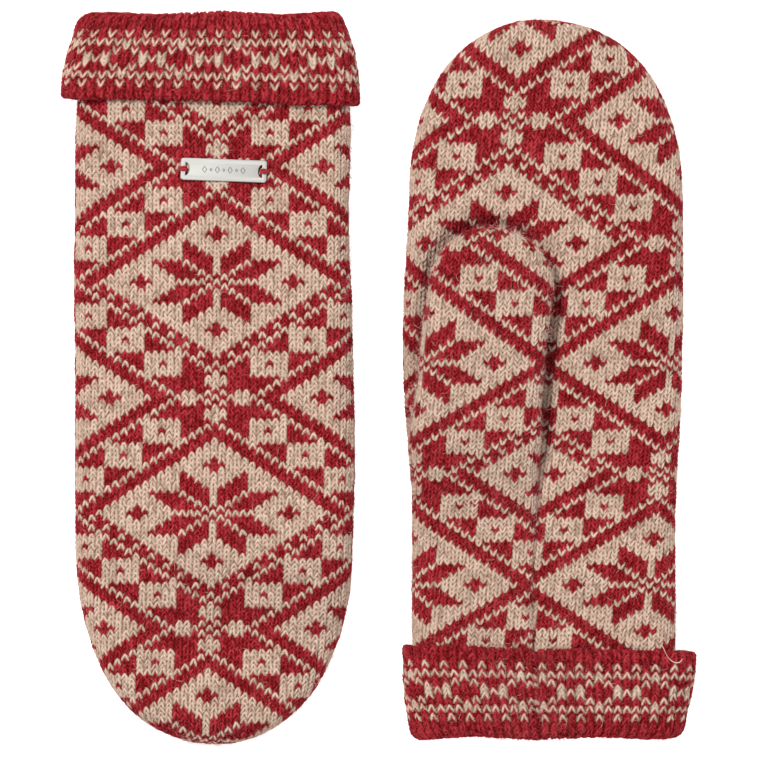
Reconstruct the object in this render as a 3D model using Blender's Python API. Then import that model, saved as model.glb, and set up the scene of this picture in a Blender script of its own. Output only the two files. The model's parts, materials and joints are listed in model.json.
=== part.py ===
"""A pair of thick knitted mittens laid flat side by side, with turned-up cuffs and one sewn-on metal label.

The right-hand mitten lies back up with its fingertips towards -Y and its thumb folded under the palm.
The left-hand mitten lies palm up with its fingertips towards +Y and its thumb folded over the palm.

Each mitten is first made in its own hand frame: y = 0 at the cuff's fold and running to the fingertips,
x from the thumb side (-) to the little-finger side (+), z = 0 on the back of the hand and up through the
palm. place() then lays it on the table, and lifts the right-hand mitten over its own thumb.
"""

import math

import bmesh
import bpy
import numpy as np
from mathutils import Matrix, Vector

# Driving dimensions, in metres
GAP = 0.0003  # between pieces that touch
HAND_THICK = 0.016
HAND_WALL = 0.0028
HAND_HALF_WIDTH = 0.05  # roughly, to scale the hollow inside
EDGE_ROUND = 0.008  # half of HAND_THICK: the pocket's edge is a half round
TIP_ROUND = 0.010  # how far from the fingertips the pocket starts to thin
TIP_POWER = 2.2  # of the superellipse that closes the fingertips and the thumb's tip
CUFF_THICK = 0.020
CUFF_WALL = 0.003
CUFF_GAP = 0.0006  # between the cuff and the hand inside it
FOLD_LENGTH = 0.003  # of the solid fold at the wrist, before the hand's own wall starts
WRIST_BLEND = 0.019  # over which the hand swells from its wrist to its full thickness

THUMB_THICK = 0.010
THUMB_WALL = 0.0024
THUMB_HALF_WIDTH = 0.0235
THUMB_TIP_HALF_WIDTH = 0.0225
THUMB_TIP_LENGTH = 0.022
THUMB_REACH = 0.0825  # from the hinge axis to the thumb's tip
THUMB_ROUND = 0.005  # half of THUMB_THICK
THUMB_LEAN = math.radians(3)
THUMB_AXIS = Vector((-0.024, 0.102))
THUMB_HOLE_RADIUS = 0.015
THUMB_SEAM_WIDTH = 0.0035
THUMB_SEAM_HEIGHT = 0.001

SEAM_X = -0.0025  # the palm seam, from the thumb's crotch down to the wrist
GUSSET_TOP = 0.124  # where the gusset panel meets the palm panel, under the thumb
RIDGE_WIDTH = 0.003
RIDGE_HEIGHT = 0.0012
CUTTER_REACH = 0.1  # how far a cutter's far sides lie, beyond any mitten

LIFT = THUMB_THICK + THUMB_SEAM_HEIGHT + 2 * GAP  # what the thumb under the palm raises
LIFT_FULL_X = 0.002  # the palm is fully raised on the thumb side of this
LIFT_NONE_X = 0.042  # and lies on the table beyond this
CUFF_LIFT = 0.55  # share of the lift that reaches the cuff's thumb side
CUFF_LIFT_Y = 0.028  # the lift grows from here
THUMB_LIFT_Y = 0.081  # to its full height here
TIP_LIFT_Y = 0.188  # and falls again from here
TIP_REST_Y = 0.228  # to none here

PLATE = Vector((0.031, 0.0081, 0.0008))
PLATE_CORNER = 0.001
PLATE_CENTRE = (-0.0036, 0.0569)
PLATE_TURN = math.radians(-2.1)
PLATE_CLEAR = 0.0005
SLOT_BAR = 0.0017  # from the plate's end to the slot's straight side
SLOT_DEPTH = 0.0014
SLOT_HEIGHT = 0.0046
THREAD_RADIUS = 0.0005
THREAD_HALF_WIDTH = 0.0008
THREAD_BEND = 0.0006  # how far round the bar's edge the yarn turns
FOLD_BULGE = 0.0009  # rounding of the cuff's fold
CUFF_ROUND = 0.0006  # and of its free edge

# Counts of faces
FLAT_STEPS = 10
CUFF_FLAT_STEPS = 14
CUFF_ARC_STEPS = 4
ARC_STEPS = 3
RING_SIDES = 16  # round the thumb
YARN_SIDES = 8
RIDGE_SIDES = 6
SEAM_TURNS = 24
PALM_UP_STATIONS = (0.062, 0.080, 0.100, 0.130, 0.165)
BACK_UP_STATIONS = (0.102, 0.130, 0.160)

RED = (0.40, 0.022, 0.034)
DARK_RED = (0.27, 0.012, 0.020)
BEIGE = (0.61, 0.46, 0.32)
METAL = (0.72, 0.72, 0.70)


class Mitten:
    """One mitten's outline in its hand frame, and how it lies on the table."""

    def __init__(self, name, origin, palm_up, length, sides, tip_start, cuff_length, cuff_fold, cuff_edge):
        self.name = name
        self.origin = Vector(origin)
        self.palm_up = palm_up
        self.length = length
        self.sides = sides
        self.tip_start = tip_start
        self.cuff_length = cuff_length
        self.cuff_fold = cuff_fold
        self.cuff_edge = cuff_edge
        # The cuff is thicker than the hand, and both rest on the table's side.
        spare = (CUFF_THICK - HAND_THICK) / 2
        self.wrist_z = HAND_THICK / 2 + (spare if palm_up else -spare)


# sides: (distance from the fold, thumb-side edge, little-finger-side edge) of the hand below its fingertips
RIGHT = Mitten(
    "right",
    origin=(-0.0593, 0.13175),
    palm_up=False,
    length=0.2635,
    sides=(
        (0.0033, -0.0420, 0.0440),
        (0.0315, -0.0487, 0.0492),
        (0.0780, -0.0484, 0.0502),
        (0.1130, -0.0500, 0.0504),
        (0.1720, -0.0506, 0.0500),
        (0.1900, -0.0500, 0.0500),
    ),
    tip_start=0.190,
    cuff_length=0.0315,
    cuff_fold=(-0.0454, 0.0475),
    cuff_edge=(-0.0529, 0.0553),
)
LEFT = Mitten(
    "left",
    origin=(0.0593, -0.1297),
    palm_up=True,
    length=0.2590,
    sides=(
        (0.0033, -0.0438, 0.0458),
        (0.0338, -0.0470, 0.0476),
        (0.0886, -0.0472, 0.0480),
        (0.1210, -0.0500, 0.0500),
        (0.1460, -0.0504, 0.0504),
        (0.1960, -0.0482, 0.0504),
    ),
    tip_start=0.1955,
    cuff_length=0.0338,
    cuff_fold=(-0.0472, 0.0493),
    cuff_edge=(-0.0508, 0.0553),
)


def smoothstep(value, low, high):
    t = min(max((value - low) / (high - low), 0.0), 1.0)
    return t * t * (3 - 2 * t)


def curve_through(points, y):
    """A smooth curve's value at y: a Hermite cubic between each two points, with averaged slopes."""
    ys = [p[0] for p in points]
    y = min(max(y, ys[0]), ys[-1])
    i = min(max(np.searchsorted(ys, y) - 1, 0), len(points) - 2)

    def slope(k):
        before, after = max(k - 1, 0), min(k + 1, len(points) - 1)
        return (points[after][1] - points[before][1]) / (points[after][0] - points[before][0])

    step = points[i + 1][0] - points[i][0]
    t = (y - points[i][0]) / step
    return (
        (2 * t**3 - 3 * t**2 + 1) * points[i][1]
        + (t**3 - 2 * t**2 + t) * step * slope(i)
        + (3 * t**2 - 2 * t**3) * points[i + 1][1]
        + (t**3 - t**2) * step * slope(i + 1)
    )


def hand_edges(mitten, y):
    """The hand's thumb-side and little-finger-side edges at y."""
    left = curve_through([(p[0], p[1]) for p in mitten.sides], y)
    right = curve_through([(p[0], p[2]) for p in mitten.sides], y)
    share = max(0.0, (y - mitten.tip_start) / (mitten.length - mitten.tip_start))
    keep = max(0.0, 1 - share**TIP_POWER) ** (1 / TIP_POWER)
    return left * keep, right * keep


def hand_half_thickness(mitten, y):
    """Half the pocket's thickness at y, before the fingertips thin it."""
    wrist = CUFF_THICK / 2 - CUFF_WALL - CUFF_GAP
    start = mitten.cuff_length + GAP
    return wrist + (HAND_THICK / 2 - wrist) * smoothstep(y, start, start + WRIST_BLEND)


def tip_thinning(mitten, y):
    into_tip = max(0.0, (y - mitten.length + TIP_ROUND) / TIP_ROUND)
    return math.sqrt(max(0.0, 1 - into_tip**2))


def hand_middle(mitten, y):
    start = mitten.cuff_length + GAP
    share = smoothstep(y, start, start + WRIST_BLEND)
    return mitten.wrist_z + (HAND_THICK / 2 - mitten.wrist_z) * share


def lift_share(x, y):
    """How much of LIFT the right-hand mitten is raised by where its own thumb lies under it."""
    across = 1 - smoothstep(x, LIFT_FULL_X, LIFT_NONE_X)
    along = CUFF_LIFT + (1 - CUFF_LIFT) * smoothstep(y, CUFF_LIFT_Y, THUMB_LIFT_Y)
    return across * along * (1 - smoothstep(y, TIP_LIFT_Y, TIP_REST_Y))


def place(mitten, x, y, z, over_thumb=False):
    """A point of the hand frame as it lies on the table."""
    if mitten.palm_up:
        return Vector((mitten.origin.x + x, mitten.origin.y + y, z))
    lift = LIFT * (1.0 if over_thumb else lift_share(x, y))
    return Vector((mitten.origin.x - x, mitten.origin.y - y, HAND_THICK - z + lift))


def stations(mitten, start):
    """The y of each cross-section: close together where the surface bends, wide apart where it is flat."""
    swell = mitten.cuff_length + GAP
    if mitten.palm_up:
        near = list(np.linspace(start, swell, 3))
        first, *rest = PALM_UP_STATIONS
        body = list(np.linspace(swell + WRIST_BLEND / 3, first, 3)) + rest
    else:
        near = list(np.linspace(start, swell, 4))
        body = list(np.linspace(swell + WRIST_BLEND / 4, THUMB_LIFT_Y, 8)) + list(BACK_UP_STATIONS)
        body += list(np.linspace(TIP_LIFT_Y, TIP_REST_Y, 8)[:-1])
    turns = np.linspace(0, math.pi / 2, 10 if mitten.palm_up else 7)[1:]
    tip = [body[-1] + (mitten.length - body[-1]) * math.sin(a) for a in turns]
    return near + body + tip


def half_section(left, right, half, side):
    """Points over one half of a flattened tube, from its left edge to its right edge."""
    radius = min(EDGE_ROUND, (right - left) / 2)
    round_up = [math.pi / 2 * i / ARC_STEPS for i in range(ARC_STEPS + 1)]
    points = [(left + radius - radius * math.cos(a), side * half * math.sin(a)) for a in round_up]
    for i in range(1, FLAT_STEPS):
        points.append((left + radius + (right - left - 2 * radius) * i / FLAT_STEPS, side * half))
    for angle in reversed(round_up):
        points.append((right - radius + radius * math.cos(angle), side * half * math.sin(angle)))
    return points


def clear_scene():
    for obj in list(bpy.data.objects):
        bpy.data.objects.remove(obj, do_unlink=True)


def material(name, colour, roughness, metallic=0.0):
    made = bpy.data.materials.get(name) or bpy.data.materials.new(name)
    made.use_nodes = True
    shader = made.node_tree.nodes["Principled BSDF"]
    shader.inputs["Base Color"].default_value = (*colour, 1)
    shader.inputs["Roughness"].default_value = roughness
    shader.inputs["Metallic"].default_value = metallic
    return made


def new_object(name, bm, finish, parent=None, location=(0, 0, 0)):
    """An object from a bmesh in world coordinates, with its origin at location."""
    bmesh.ops.recalc_face_normals(bm, faces=bm.faces)
    mesh = bpy.data.meshes.new(name)
    bm.to_mesh(mesh)
    bm.free()
    obj = bpy.data.objects.new(name, mesh)
    bpy.context.scene.collection.objects.link(obj)
    attach(obj, parent, location)
    mesh.shade_smooth()
    mesh.set_sharp_from_angle(angle=math.radians(40))
    mesh.materials.append(finish)
    return obj


def attach(obj, parent, location):
    """Sets the object's origin to location, keeps its mesh where it is, and parents it."""
    obj.data.transform(Matrix.Translation(-Vector(location)))
    obj.location = location
    if parent is not None:
        obj.parent = parent
        obj.location = Vector(location) - parent_place(parent)


def parent_place(parent):
    place_of = parent.location.copy()
    return place_of + parent_place(parent.parent) if parent.parent else place_of


def empty(name, location, parent=None):
    obj = bpy.data.objects.new(name, None)
    bpy.context.scene.collection.objects.link(obj)
    obj.empty_display_size = 0.01
    obj.location = location
    if parent is not None:
        obj.parent = parent
        obj.location = Vector(location) - parent_place(parent)
    return obj


def grid_faces(bm, rows, flip=False):
    """Joins each row of vertices to the next. A last row of one vertex closes to a point."""
    for near, far in zip(rows, rows[1:]):
        for i in range(len(near) - 1):
            corners = [near[i], near[i + 1]] + ([far[0]] if len(far) == 1 else [far[i + 1], far[i]])
            bm.faces.new(list(reversed(corners)) if flip else corners)


def panel_mesh(mitten, side):
    """Half of the hand's pocket as a closed dish: the palm half with side 1, the back half with side -1."""
    bm = bmesh.new()
    start = FOLD_LENGTH + GAP
    ys = stations(mitten, start)
    narrow = 1 - HAND_WALL / HAND_HALF_WIDTH
    short = (mitten.length - HAND_WALL - start) / (mitten.length - start)
    outer_rows, inner_rows = [], []
    for y in ys:
        left, right = hand_edges(mitten, y)
        half = hand_half_thickness(mitten, y) - GAP / 2
        thinning = tip_thinning(mitten, y)
        at_tip = y >= mitten.length - 1e-9
        inner_y = start + (y - start) * short
        for rows, where, scale, thick in (
            (outer_rows, y, 1.0, half * thinning),
            (inner_rows, inner_y, narrow, (half - HAND_WALL) * thinning),
        ):
            middle = hand_middle(mitten, where)
            section = [(0.0, 0.0)] if at_tip else half_section(left * scale, right * scale, thick, side)
            rows.append([bm.verts.new((x, where, middle + side * GAP / 2 + z)) for x, z in section])
    grid_faces(bm, outer_rows)
    grid_faces(bm, inner_rows, flip=True)
    for outer, inner, next_outer, next_inner in zip(outer_rows, inner_rows, outer_rows[1:], inner_rows[1:]):
        bm.faces.new((outer[0], next_outer[0], next_inner[0], inner[0]))
        bm.faces.new((outer[-1], inner[-1], next_inner[-1], next_outer[-1]))
    for i in range(len(outer_rows[0]) - 1):
        a, b = outer_rows[0][i], outer_rows[0][i + 1]
        c, d = inner_rows[0][i + 1], inner_rows[0][i]
        bm.faces.new((a, d, c, b))
    bmesh.ops.recalc_face_normals(bm, faces=bm.faces)
    return bm


def cutter(name, bm):
    """A hidden helper for a Boolean."""
    bmesh.ops.recalc_face_normals(bm, faces=bm.faces)
    mesh = bpy.data.meshes.new(name)
    bm.to_mesh(mesh)
    bm.free()
    obj = bpy.data.objects.new(name, mesh)
    bpy.context.scene.collection.objects.link(obj)
    obj.hide_render = True
    obj.display_type = "WIRE"
    return obj


def box_cutter(name, low, high):
    bm = bmesh.new()
    size = Vector(high) - Vector(low)
    middle = (Vector(high) + Vector(low)) / 2
    bmesh.ops.create_cube(bm, size=1, matrix=Matrix.Translation(middle) @ Matrix.Diagonal((*size, 1)))
    return cutter(name, bm)


def hole_cutter(name, centre, radius, low, high):
    bm = bmesh.new()
    bmesh.ops.create_cone(
        bm,
        cap_ends=True,
        segments=32,
        radius1=radius,
        radius2=radius,
        depth=high - low,
        matrix=Matrix.Translation((centre[0], centre[1], (low + high) / 2)),
    )
    return cutter(name, bm)


def carved(bm, cuts):
    """The bmesh after its Booleans: cuts holds (operation, cutter object) pairs."""
    base = cutter("carving", bm)
    for operation, helper in cuts:
        modifier = base.modifiers.new(operation, "BOOLEAN")
        modifier.operation = operation
        modifier.object = helper
    bpy.context.view_layer.update()
    graph = bpy.context.evaluated_depsgraph_get()
    result = bmesh.new()
    result.from_mesh(base.evaluated_get(graph).to_mesh())
    bpy.data.objects.remove(base, do_unlink=True)
    for _, helper in cuts:
        if helper.name in bpy.data.objects:
            bpy.data.objects.remove(helper, do_unlink=True)
    return result


def lay(mitten, bm, over_thumb=False):
    """Moves a hand-frame bmesh to where the mitten lies."""
    for vertex in bm.verts:
        vertex.co = place(mitten, *vertex.co, over_thumb=over_thumb)
    return bm


def thumb_axis_place(mitten):
    return place(mitten, THUMB_AXIS.x, THUMB_AXIS.y, HAND_THICK, over_thumb=True)


def make_back(mitten, knit, parent, location):
    bm = lay(mitten, panel_mesh(mitten, -1))
    return new_object(mitten.name + "_hand_back", bm, knit, parent, location)


def gusset_box(name, grow):
    """The space of the gusset panel: thumb side of the palm seam, up to above the thumb hole."""
    high = (SEAM_X + grow, GUSSET_TOP + grow, CUTTER_REACH)
    return box_cutter(name, (-CUTTER_REACH, -CUTTER_REACH, -CUTTER_REACH), high)


def make_palm(mitten, knit, parent, location):
    cuts = [("DIFFERENCE", gusset_box("palm_cut", GAP / 2))]
    bm = lay(mitten, carved(panel_mesh(mitten, 1), cuts))
    return new_object(mitten.name + "_hand_palm", bm, knit, parent, location)


def make_gusset(mitten, knit, parent, location):
    above = HAND_THICK / 2 + GAP
    hole = hole_cutter("thumb_hole", THUMB_AXIS, THUMB_HOLE_RADIUS, above, CUTTER_REACH)
    cuts = [("INTERSECT", gusset_box("gusset_keep", -GAP / 2)), ("DIFFERENCE", hole)]
    bm = lay(mitten, carved(panel_mesh(mitten, 1), cuts))
    return new_object(mitten.name + "_thumb_gusset", bm, knit, parent, location)


def thumb_half_width(s):
    """Half the thumb's width at s from the hinge axis: round behind it, then straight, then the tip."""
    if s < 0:
        return math.sqrt(max(0.0, THUMB_HALF_WIDTH**2 - s**2))
    straight = THUMB_REACH - THUMB_TIP_LENGTH
    width = THUMB_HALF_WIDTH + (THUMB_TIP_HALF_WIDTH - THUMB_HALF_WIDTH) * min(s / straight, 1.0)
    share = max(0.0, (s - straight) / THUMB_TIP_LENGTH)
    return width * max(0.0, 1 - share**TIP_POWER) ** (1 / TIP_POWER)


def thumb_half_thickness(s):
    to_end = min(s + THUMB_HALF_WIDTH, THUMB_REACH - s)
    into_end = max(0.0, 1 - to_end / THUMB_ROUND)
    return THUMB_THICK / 2 * math.sqrt(max(0.0, 1 - into_end**2))


def thumb_stations():
    turns = np.linspace(0, math.pi / 2, 7)
    straight = THUMB_REACH - THUMB_TIP_LENGTH
    behind = list(-THUMB_HALF_WIDTH * np.cos(turns[:-1]))
    tip = list(straight + THUMB_TIP_LENGTH * np.sin(turns[1:]))
    return behind + list(np.linspace(0, straight, 4)) + tip


def thumb_shell(bm, scale_across, scale_along, scale_thick, middle_z):
    """One closed skin of the thumb pouch, as rings across it with a point at each end."""
    rings = []
    for s in thumb_stations():
        half = thumb_half_width(s) * scale_across
        thick = thumb_half_thickness(s) * scale_thick
        along = s * scale_along
        centre = THUMB_AXIS + Vector((math.sin(THUMB_LEAN), math.cos(THUMB_LEAN))) * along
        across = Vector((math.cos(THUMB_LEAN), -math.sin(THUMB_LEAN)))
        if half < 1e-6:
            rings.append([bm.verts.new((centre.x, centre.y, middle_z))])
            continue
        radius = min(THUMB_ROUND * scale_thick, half)
        ring = []
        for turn in range(RING_SIDES):
            angle = math.pi * (2 * turn + 1) / RING_SIDES
            reach = math.copysign(half - radius, math.cos(angle)) + radius * math.cos(angle)
            point = centre + across * reach
            height = thick * math.sin(angle) / math.cos(math.pi / RING_SIDES)
            ring.append(bm.verts.new((point.x, point.y, middle_z + height)))
        rings.append(ring)
    for near, far in zip(rings, rings[1:]):
        for i in range(RING_SIDES):
            j = (i + 1) % RING_SIDES
            if len(near) == 1:
                bm.faces.new((near[0], far[j], far[i]))
            elif len(far) == 1:
                bm.faces.new((near[i], near[j], far[0]))
            else:
                bm.faces.new((near[i], near[j], far[j], far[i]))


def make_thumb(mitten, knit, parent, location):
    base_z = HAND_THICK + THUMB_SEAM_HEIGHT + 2 * GAP
    middle_z = base_z + THUMB_THICK / 2
    bm = bmesh.new()
    thumb_shell(bm, 1.0, 1.0, 1.0, middle_z)
    bmesh.ops.recalc_face_normals(bm, faces=bm.faces)
    hollow = bmesh.new()
    across = (THUMB_HALF_WIDTH - THUMB_WALL) / THUMB_HALF_WIDTH
    along = (THUMB_REACH - THUMB_WALL) / THUMB_REACH
    thick = (THUMB_THICK - 2 * THUMB_WALL) / THUMB_THICK
    thumb_shell(hollow, across, along, thick, middle_z)
    bmesh.ops.recalc_face_normals(hollow, faces=hollow.faces)
    mouth = hole_cutter("thumb_mouth", THUMB_AXIS, THUMB_HOLE_RADIUS, base_z - THUMB_WALL, middle_z)
    cuts = [("DIFFERENCE", cutter("thumb_hollow", hollow)), ("DIFFERENCE", mouth)]
    shell = lay(mitten, carved(bm, cuts), over_thumb=True)
    return new_object(mitten.name + "_thumb", shell, knit, parent, location)


def make_thumb_seam(mitten, yarn, parent, location):
    """The ring of yarn that joins the thumb to the rim of the gusset's hole."""
    bm = bmesh.new()
    middle_z = HAND_THICK + GAP + THUMB_SEAM_HEIGHT / 2
    middle_r = THUMB_HOLE_RADIUS + THUMB_SEAM_WIDTH / 2
    flat_to_flat = 1 / math.cos(math.pi / RIDGE_SIDES)
    rings = []
    for turn in range(SEAM_TURNS):
        around = 2 * math.pi * turn / SEAM_TURNS
        ring = []
        for k in range(RIDGE_SIDES):
            angle = 2 * math.pi * (k + 0.5) / RIDGE_SIDES
            radius = middle_r + THUMB_SEAM_WIDTH / 2 * math.cos(angle) * flat_to_flat
            z = middle_z + THUMB_SEAM_HEIGHT / 2 * math.sin(angle) * flat_to_flat
            x = THUMB_AXIS.x + radius * math.cos(around)
            y = THUMB_AXIS.y + radius * math.sin(around)
            ring.append(bm.verts.new((x, y, z)))
        rings.append(ring)
    join_loops(bm, rings)
    lay(mitten, bm, over_thumb=True)
    return new_object(mitten.name + "_thumb_seam", bm, yarn, parent, location)


def capped_tube(bm, rings):
    """A tube of closed rings with a flat face at each end."""
    for near, far in zip(rings, rings[1:]):
        count = len(near)
        for i in range(count):
            j = (i + 1) % count
            bm.faces.new((near[i], near[j], far[j], far[i]))
    bm.faces.new(rings[0])
    bm.faces.new(list(reversed(rings[-1])))


def join_loops(bm, rings):
    """A closed tube of closed rings, whose last ring joins its first."""
    for near, far in zip(rings, rings[1:] + rings[:1]):
        count = len(near)
        for i in range(count):
            j = (i + 1) % count
            bm.faces.new((near[i], near[j], far[j], far[i]))


def make_palm_seam(mitten, yarn, parent, location):
    """The sewn ridge inside the palm, from the thumb's crotch to the wrist."""
    bm = bmesh.new()
    start = FOLD_LENGTH + GAP
    ys = [y for y in stations(mitten, start) if y < GUSSET_TOP] + [GUSSET_TOP]
    rings = []
    for y in ys:
        surface = hand_middle(mitten, y) + hand_half_thickness(mitten, y) - HAND_WALL - GAP
        ring = []
        for k in range(RIDGE_SIDES):
            angle = 2 * math.pi * k / RIDGE_SIDES
            x = SEAM_X + RIDGE_WIDTH / 2 * math.cos(angle)
            flat = RIDGE_HEIGHT / 2 * math.sin(angle) / math.cos(math.pi / RIDGE_SIDES)
            ring.append(bm.verts.new((x, y, surface - RIDGE_HEIGHT / 2 + flat)))
        rings.append(ring)
    capped_tube(bm, rings)
    lay(mitten, bm)
    return new_object(mitten.name + "_palm_seam", bm, yarn, parent, location)


def cuff_ring(bm, mitten, y, inset):
    """One ring of the cuff: the cuff's outline at y, inset by so much."""
    share = y / mitten.cuff_length
    left = mitten.cuff_fold[0] + (mitten.cuff_edge[0] - mitten.cuff_fold[0]) * share + inset
    right = mitten.cuff_fold[1] + (mitten.cuff_edge[1] - mitten.cuff_fold[1]) * share - inset
    half = CUFF_THICK / 2 - inset
    top = []
    quarter = [math.pi / 2 * i / CUFF_ARC_STEPS for i in range(CUFF_ARC_STEPS + 1)]
    for angle in quarter:
        top.append((left + half - half * math.cos(angle), half * math.sin(angle)))
    for i in range(1, CUFF_FLAT_STEPS):
        top.append((left + half + (right - left - 2 * half) * i / CUFF_FLAT_STEPS, half))
    for angle in quarter:
        top.append((right - half + half * math.sin(angle), half * math.cos(angle)))
    bottom = [(x, -z) for x, z in reversed(top[1:-1])]
    return [bm.verts.new((x, y, mitten.wrist_z + z)) for x, z in top + bottom]


def make_cuff(mitten, knit, parent, location):
    """The turned-up cuff: a band round the wrist, closed over the hand's wrist edge by its fold."""
    bm = bmesh.new()
    through = CUFF_WALL + CUFF_GAP + HAND_WALL
    length = mitten.cuff_length
    profile = [
        (length, CUFF_ROUND),
        (length - 2 * CUFF_ROUND, 0.0),
        (length / 2, 0.0),
        (FOLD_LENGTH, 0.0),
        (FOLD_BULGE, FOLD_BULGE),
        (0.0, through / 2),
        (FOLD_BULGE, through - FOLD_BULGE),
        (FOLD_LENGTH, through),
        (FOLD_LENGTH, CUFF_WALL),
        (length / 2, CUFF_WALL),
        (length, CUFF_WALL),
    ]
    rings = [cuff_ring(bm, mitten, y, inset) for y, inset in profile]
    join_loops(bm, rings)
    lay(mitten, bm)
    return new_object(mitten.name + "_cuff", bm, knit, parent, location)


def plate_outline():
    """The plate's rounded rectangle, counter-clockwise."""
    points = []
    for corner in range(4):
        sign_x = 1 if corner in (0, 3) else -1
        sign_y = 1 if corner in (0, 1) else -1
        centre = Vector((sign_x * (PLATE.x / 2 - PLATE_CORNER), sign_y * (PLATE.y / 2 - PLATE_CORNER)))
        for i in range(5):
            angle = math.pi / 2 * (corner + i / 4)
            points.append(centre + PLATE_CORNER * Vector((math.cos(angle), math.sin(angle))))
    return points


def prism(points, low, high):
    bm = bmesh.new()
    bottom = [bm.verts.new((p.x, p.y, low)) for p in points]
    top = [bm.verts.new((p.x, p.y, high)) for p in points]
    bm.faces.new(list(reversed(bottom)))
    bm.faces.new(top)
    for i in range(len(points)):
        j = (i + 1) % len(points)
        bm.faces.new((bottom[i], bottom[j], top[j], top[i]))
    return bm


def slot_outline(end):
    """A D: its straight side next to the plate's end bar, its bow towards the middle."""
    straight = PLATE.x / 2 - SLOT_BAR
    points = []
    for i in range(11):
        angle = math.pi * i / 10
        x = end * (straight - SLOT_DEPTH * math.sin(angle))
        points.append(Vector((x, SLOT_HEIGHT / 2 * math.cos(angle))))
    return points


def label_frame(mitten):
    """Where the label's plate lies on the back of the hand, tilted with the fabric under it."""
    x, y = PLATE_CENTRE
    middle = place(mitten, x, y, 0.0)
    step = 0.006
    along_x = (place(mitten, x - step, y, 0.0) - place(mitten, x + step, y, 0.0)).normalized()
    along_y = place(mitten, x, y - step, 0.0) - place(mitten, x, y + step, 0.0)
    up = along_x.cross(along_y).normalized()
    frame = Matrix((along_x, up.cross(along_x), up)).transposed().to_4x4()
    raised = Matrix.Translation(middle + up * PLATE_CLEAR)
    return raised @ frame @ Matrix.Rotation(PLATE_TURN, 4, "Z")


def make_plate(mitten, metal, parent, location):
    cuts = []
    for end in (-1, 1):
        slot = prism(slot_outline(end), -PLATE.z, 2 * PLATE.z)
        cuts.append(("DIFFERENCE", cutter(f"slot_{end}", slot)))
    bm = carved(prism(plate_outline(), 0.0, PLATE.z), cuts)
    bm.transform(label_frame(mitten))
    return new_object("label_plate", bm, metal, parent, location)


def make_label_thread(mitten, end, name, yarn, parent, location):
    """One loop of yarn up through a slot, over the plate's end bar and down to the fabric."""
    bm = bmesh.new()
    low = -PLATE_CLEAR + GAP + THREAD_RADIUS
    inner = PLATE.x / 2 - SLOT_BAR - THREAD_RADIUS - GAP
    outer = PLATE.x / 2 + THREAD_RADIUS + GAP
    top = PLATE.z + GAP + THREAD_RADIUS
    path = [
        Vector((inner, low)),
        Vector((inner, PLATE.z / 2)),
        Vector((inner + THREAD_BEND / 3, top - THREAD_BEND / 3)),
        Vector((inner + THREAD_BEND, top)),
        Vector((outer - THREAD_BEND, top)),
        Vector((outer - THREAD_BEND / 3, top - THREAD_BEND / 3)),
        Vector((outer, PLATE.z / 2)),
        Vector((outer, low)),
    ]
    rings = []
    for i, point in enumerate(path):
        before, after = path[max(i - 1, 0)], path[min(i + 1, len(path) - 1)]
        along = (after - before).normalized()
        normal = Vector((-along.y, along.x))
        ring = []
        for k in range(YARN_SIDES):
            angle = 2 * math.pi * k / YARN_SIDES
            off = normal * (THREAD_RADIUS * math.cos(angle))
            y = THREAD_HALF_WIDTH * math.sin(angle)
            ring.append(bm.verts.new((end * (point.x + off.x), y, point.y + off.y)))
        rings.append(ring)
    capped_tube(bm, rings)
    bm.transform(label_frame(mitten))
    return new_object(name, bm, yarn, parent, location)


def make_mitten(mitten, pair):
    """The pocket's panels, cuff, seams and thumb of one mitten, with the thumb on its hinge axis."""
    base = empty(mitten.name + "_mitten", (mitten.origin.x, mitten.origin.y, 0), pair)
    here = parent_place(base)
    knit = material("knit_" + mitten.name + "_hand", RED, 0.95)
    make_back(mitten, knit, base, here)
    make_palm(mitten, material("knit_palm", RED, 0.95), base, here)
    make_gusset(mitten, material("knit_gusset", BEIGE, 0.95), base, here)
    make_cuff(mitten, material("knit_cuff", DARK_RED, 0.95), base, here)
    yarn = material("seam_yarn", DARK_RED, 0.9)
    make_palm_seam(mitten, yarn, base, here)
    make_thumb_seam(mitten, yarn, base, here)
    hinge = empty(mitten.name + "_thumb_axis", thumb_axis_place(mitten), base)
    make_thumb(mitten, material("knit_thumb", BEIGE, 0.95), hinge, parent_place(hinge))
    return base


def make_label(mitten, base):
    here = parent_place(base)
    make_plate(mitten, material("label_metal", METAL, 0.3, 1.0), base, here)
    yarn = material("label_yarn", RED, 0.9)
    make_label_thread(mitten, -1, "label_thread_west", yarn, base, here)
    make_label_thread(mitten, 1, "label_thread_east", yarn, base, here)


def main():
    clear_scene()
    pair = empty("mitten_pair", (0, 0, 0))
    right_base = make_mitten(RIGHT, pair)
    make_label(RIGHT, right_base)
    make_mitten(LEFT, pair)


main()
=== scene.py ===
"""Looks of a pair of thick knitted mittens laid flat: the stitches, the loose hairs and the label.

Each mitten is made in its own hand frame: y = 0 at the cuff's fold and running to the fingertips, x from
the thumb side (-) to the little-finger side (+), z = 0 on the back of the hand and up through the palm.
place() lays it on the table. Lengths are in metres, and a stitch chart counts columns and rows.
"""

import json
import math
from dataclasses import dataclass

import bmesh
import bpy
import numpy as np
from mathutils import Matrix, Vector


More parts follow.
